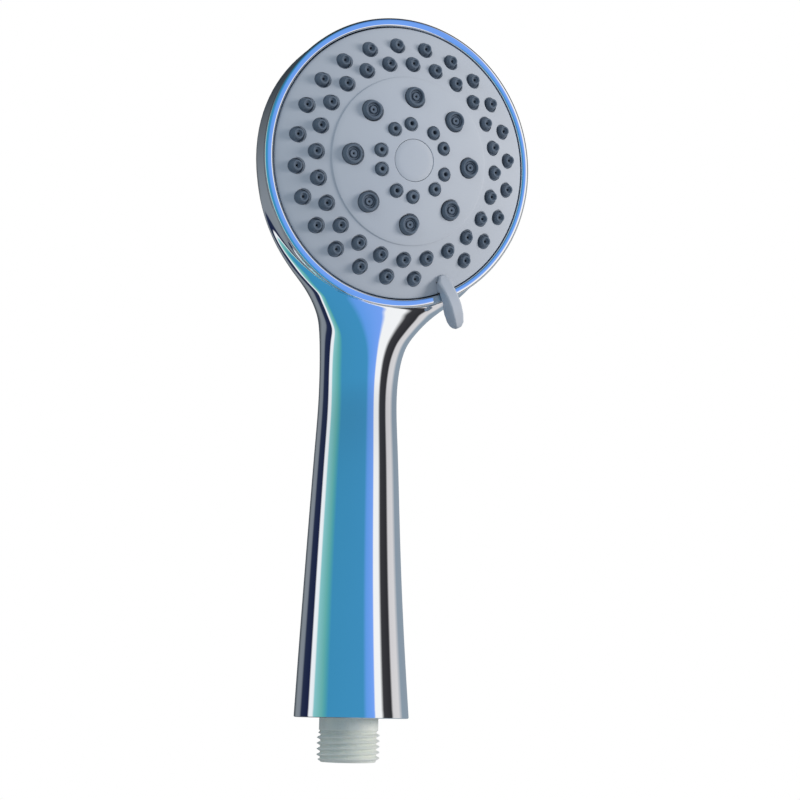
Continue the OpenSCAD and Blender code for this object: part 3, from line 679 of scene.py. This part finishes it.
class SHOWER_OT_inlet(bpy.types.Operator):
    """Builds the milky water tube with a helical pipe thread at its lower end"""
    bl_idname = "shower.inlet"
    bl_label = "Threaded inlet"

    def execute(self, context):
        s = context.scene.shower_inlet
        z_axis, origin = Vector((0, 0, 1)), Vector((0, 0, 0))
        root, crest = 9.32, 10.46
        core = spun("threaded_water_tube", [
            (7.05, 0.0), (9.0, 0.0), (9.25, 0.2), (root, 0.5), (root, 9.7), (9.9, 10.3), (9.92, 14.4),
                (11.9, 14.45), (11.98, 14.55),
            (11.98, 17.2), (13.78, 17.32), (13.78, 19.28), (8.0, 21.2), (8.0, 144.6), (6.6, 144.8), (6.6,
                148.2), (5.3, 148.3),
            (5.3, 149.7), (6.6, 149.8), (6.6, 152.2), (5.3, 152.3), (5.3, 153.7), (6.6, 153.8), (6.6,
                155.4), (6.0, 156.0),
            (5.0, 156.0), (5.0, 13.0), (7.0, 13.0), (7.0, 0.05)],
            s.steps, origin, z_axis, RIGHT, 35.0)
        z0 = -1.2
        rib_path = [Vector((r * MM, 0, (z0 + z) * MM)) for r, z in
                    ((root - 0.35, 0.12), (root, 0.2), (crest - 0.2, 0.7), (crest, 0.83), (crest, 0.99),
                        (crest - 0.2, 1.12),
                     (root, 1.62), (root - 0.35, 1.7))]
        rib = start_path(rib_path[0], "thread_rib")
        extrude_to(rib_path + rib_path[:1])
        clean()
        screw = rib.modifiers.new("helix", "SCREW")
        screw.axis, screw.angle, screw.screw_offset = "Z", math.tau, s.pitch * MM
        screw.iterations, screw.steps, screw.render_steps = 6, s.steps, s.steps
        apply_modifier(rib, screw)
        bpy.ops.object.mode_set(mode="EDIT")
        bpy.ops.mesh.select_all(action="SELECT")
        bpy.ops.mesh.fill_holes(sides=0)
        clean()
        envelope = spun("thread_envelope", [(8.6, 0.35), (9.5, 0.35), (10.47, 1.1), (10.47, 9.0), (9.4,
            9.95), (8.6, 9.95)],
                        s.steps, origin, z_axis)
        combined(rib, envelope, "INTERSECT")
        combined(core, rib, "UNION")
        settle(core, 35.0)
        finish_piece(core, "handset", ["inlet_tube"], material("milky_plastic"))
        return {"FINISHED"}


# ---------------------------------------------------------------- finishes of the other pieces

class SHOWER_OT_finishes(bpy.types.Operator):
    """Gives the inner pieces that come from the construction model their materials"""
    bl_idname = "shower.finishes"
    bl_label = "Finishes"

    def execute(self, context):
        slots = {p["node"]: p["material_slot"] for p in frame["record"]["subparts"]}
        for name, obj in frame["nodes"].items():
            if not obj.material_slots:
                obj.data.materials.append(material(slots[name]))
            for holder in obj.material_slots:
                holder.material = material(slots[name])
        return {"FINISHED"}


# ---------------------------------------------------------------- stage

# Colours of glowing panels that only glossy rays see: painted reflections for the chrome, placed round the viewer.
PAINTED_REFLECTION_BANDS = [  # turn from straight ahead of the viewer in degrees, colour
    (-180, (0.20, 0.24, 0.29)), (-160, (0.05, 0.06, 0.07)), (-142, (0.24, 0.27, 0.30)), (-126, (0.22,
        0.25, 0.29)), (-119, (0.02, 0.03, 0.07)), (-97, (0.012, 0.018, 0.06)),
    (-93, (0.95, 0.97, 1.0)), (-84, (0.9, 0.95, 0.98)), (-80, (0.26, 0.60, 0.62)), (-62, (0.14, 0.46,
        0.44)),
    (-54, (0.08, 0.38, 0.44)), (-47, (0.05, 0.29, 0.52)), (24, (0.055, 0.30, 0.56)), (31, (0.13, 0.36,
        0.86)),
    (47, (0.20, 0.40, 0.98)), (49, (1.0, 1.0, 1.0)), (62, (1.0, 1.0, 1.0)), (68, (0.045, 0.045, 0.05)),
    (88, (0.03, 0.03, 0.035)), (93, (0.70, 0.68, 0.69)), (110, (0.74, 0.72, 0.73)), (124, (0.27, 0.34,
        0.41)),
    (180, (0.28, 0.33, 0.39))]
VIEWER_TURN = -22.3


def painted_reflection_material():
    """Glowing coloured panels round the object that only the bright metal sees: painted reflections that light
    nothing.
    """
    n = Nodes("painted reflection panels")
    place = n.add("ShaderNodeTexCoord")
    split = n.add("ShaderNodeSeparateXYZ")
    n.link(place.outputs["Object"], split.inputs[0])
    turn = n.add("ShaderNodeMath", operation="ARCTAN2")
    n.link(split.outputs["X"], turn.inputs[0])
    minus = n.add("ShaderNodeMath", operation="MULTIPLY")
    minus.inputs[1].default_value = -1.0
    n.link(split.outputs["Y"], minus.inputs[0])
    n.link(minus.outputs[0], turn.inputs[1])
    part = n.add("ShaderNodeMapRange")
    part.inputs["From Min"].default_value = -math.pi
    part.inputs["From Max"].default_value = math.pi
    n.link(turn.outputs[0], part.inputs["Value"])
    ramp = n.add("ShaderNodeValToRGB")
    stops = ramp.color_ramp.elements
    while len(stops) > 1:
        stops.remove(stops[-1])
    for i, (degrees, colour) in enumerate(PAINTED_REFLECTION_BANDS):
        stop = stops[0] if i == 0 else stops.new((degrees + 180) / 360)
        stop.position = (degrees + 180) / 360
        stop.color = (*colour, 1.0)
    n.link(part.outputs["Result"], ramp.inputs["Fac"])
    # The painted reflection turns near black higher up.
    height = n.add("ShaderNodeMapRange")
    height.inputs["From Min"].default_value = 0.3
    height.inputs["From Max"].default_value = 1.3
    height.interpolation_type = "SMOOTHSTEP"
    n.link(split.outputs["Z"], height.inputs["Value"])
    mix = n.add("ShaderNodeMix", data_type="RGBA")
    mix.inputs[7].default_value = (0.03, 0.04, 0.05, 1.0)
    n.link(height.outputs["Result"], mix.inputs[0])
    n.link(ramp.outputs["Color"], mix.inputs[6])
    glow = n.add("ShaderNodeEmission")
    n.link(mix.outputs[2], glow.inputs["Color"])
    out = n.add("ShaderNodeOutputMaterial")
    n.link(glow.outputs[0], out.inputs["Surface"])
    return n.material


class SHOWER_OT_stage(bpy.types.Operator):
    """Sets up the pale floor, the glowing panels painted into the chrome's reflections, the soft lights and the
    camera
    """
    bl_idname = "shower.stage"
    bl_label = "Stage"

    def execute(self, context):
        s = context.scene.shower_stage
        clear_selection()
        bpy.ops.mesh.primitive_circle_add(vertices=128, radius=3.0, fill_type="NGON", location=(0, 0,
            s.floor))
        floor = active()
        floor.name = "studio_floor"
        n = Nodes("pale floor")
        cloud = n.noise(3.0, 3.0)
        floor.data.materials.append(n.surface(n.tint(cloud, (0.86, 0.86, 0.86), (0.9, 0.9, 0.9)),
            n.spread(cloud, 0.7, 0.8),
                                              cloud, (0.02, 0.0005), Emission_Color=(1.0, 1.0, 1.0, 1.0),
                                              Emission_Strength=0.5))
        floor.visible_glossy = False
        floor.visible_diffuse = False
        # Glowing sphere seen only in reflections: it paints the chrome's reflections and lights nothing.
        bpy.ops.mesh.primitive_uv_sphere_add(segments=96, ring_count=48, radius=1.4, location=(0, 0, 0))
        drum = active()
        drum.name = "painted_reflection_drum"
        drum.data.materials.append(painted_reflection_material())
        drum.rotation_euler = (0, 0, math.radians(VIEWER_TURN))
        for ray in ("camera", "diffuse", "transmission", "shadow", "volume_scatter"):
            setattr(drum, "visible_" + ray, False)

        world = bpy.data.worlds.new("soft surround")
        context.scene.world = world
        world.use_nodes = True
        tree = world.node_tree
        tree.nodes.clear()
        path = tree.nodes.new("ShaderNodeLightPath")
        both = tree.nodes.new("ShaderNodeMath")
        both.operation = "ADD"
        tree.links.new(path.outputs["Is Camera Ray"], both.inputs[0])
        tree.links.new(path.outputs["Is Glossy Ray"], both.inputs[1])
        every = tree.nodes.new("ShaderNodeMath")
        every.operation, every.use_clamp = "ADD", True
        tree.links.new(both.outputs[0], every.inputs[0])
        tree.links.new(path.outputs["Is Transmission Ray"], every.inputs[1])
        soft, white = tree.nodes.new("ShaderNodeBackground"), tree.nodes.new("ShaderNodeBackground")
        soft.inputs["Color"].default_value = (0.86, 0.93, 1.0, 1.0)
        soft.inputs["Strength"].default_value = s.light
        white.inputs["Color"].default_value = (1.0, 1.0, 1.0, 1.0)
        white.inputs["Strength"].default_value = 1.0
        mix = tree.nodes.new("ShaderNodeMixShader")
        tree.links.new(every.outputs[0], mix.inputs[0])
        tree.links.new(soft.outputs[0], mix.inputs[1])
        tree.links.new(white.outputs[0], mix.inputs[2])
        out = tree.nodes.new("ShaderNodeOutputWorld")
        tree.links.new(mix.outputs[0], out.inputs["Surface"])

        middle = Vector((0, -0.02, 0.17))
        for name, where, size, power, tone in (
                ("soft_key", (0.9, -0.75, 0.22), 0.45, 10.5, (1.0, 0.93, 0.88)),
                ("soft_fill", (-0.9, -0.5, 0.6), 0.8, 2.0, (0.8, 0.9, 1.0))):
            bpy.ops.object.light_add(type="AREA", location=where)
            lamp = active()
            lamp.name = name
            lamp.data.shape, lamp.data.size, lamp.data.energy, lamp.data.color = "DISK", size, power, tone
            lamp.rotation_euler = (middle - Vector(where)).to_track_quat("-Z", "Y").to_euler()
            lamp.visible_glossy = False
            lamp.visible_camera = False

        bpy.ops.object.camera_add()
        camera = active()
        camera.name = "studio_camera"
        axes = Matrix(((0.9085705, -0.1204700, -0.3999832), (-0.4173554, -0.2211654, -0.8814195),
                       (0.0177222, 0.9677670, -0.2512232))).to_4x4()
        camera.matrix_world = Matrix.Translation((-0.158165, -0.385271, 0.016549)) @ axes
        camera.data.lens, camera.data.sensor_width = 54.0, 36.0
        camera.data.clip_start, camera.data.clip_end = 0.01, 20.0
        context.scene.camera = camera
        context.scene.view_settings.view_transform = "Standard"
        return {"FINISHED"}


# ---------------------------------------------------------------- panel and registration

STEPS = ("shell", "trim_ring", "face", "centre_cap", "lever", "rain_nozzles", "mist_nozzles",
    "massage_nozzles",
         "inlet", "finishes", "stage")


class SHOWER_PT_panel(bpy.types.Panel):
    """Lists the steps of the hand shower"""
    bl_idname = "SHOWER_PT_panel"
    bl_label = "Hand shower"
    bl_space_type = "VIEW_3D"
    bl_region_type = "UI"
    bl_category = "Shower"

    def draw(self, context):
        for step in STEPS:
            self.layout.operator("shower." + step)


CLASSES = (ShowerShellSettings, ShowerFaceSettings, ShowerLeverSettings, ShowerInletSettings,
    ShowerStageSettings,
           SHOWER_OT_shell, SHOWER_OT_trim_ring, SHOWER_OT_face, SHOWER_OT_centre_cap, SHOWER_OT_lever,
           SHOWER_OT_rain_nozzles, SHOWER_OT_mist_nozzles, SHOWER_OT_massage_nozzles, SHOWER_OT_inlet,
           SHOWER_OT_finishes, SHOWER_OT_stage, SHOWER_PT_panel)
SETTINGS = {"shower_shell": ShowerShellSettings, "shower_face": ShowerFaceSettings,
    "shower_lever": ShowerLeverSettings,
            "shower_inlet": ShowerInletSettings, "shower_stage": ShowerStageSettings}


def register():
    for cls in CLASSES:
        bpy.utils.register_class(cls)
    for name, group in SETTINGS.items():
        setattr(bpy.types.Scene, name, PointerProperty(type=group))


def unregister():
    for name in SETTINGS:
        delattr(bpy.types.Scene, name)
    for cls in reversed(CLASSES):
        bpy.utils.unregister_class(cls)


def main():
    register()
    for step in STEPS:
        getattr(bpy.ops.shower, step)()
    clear_selection()


if __name__ == "__main__":
    main()
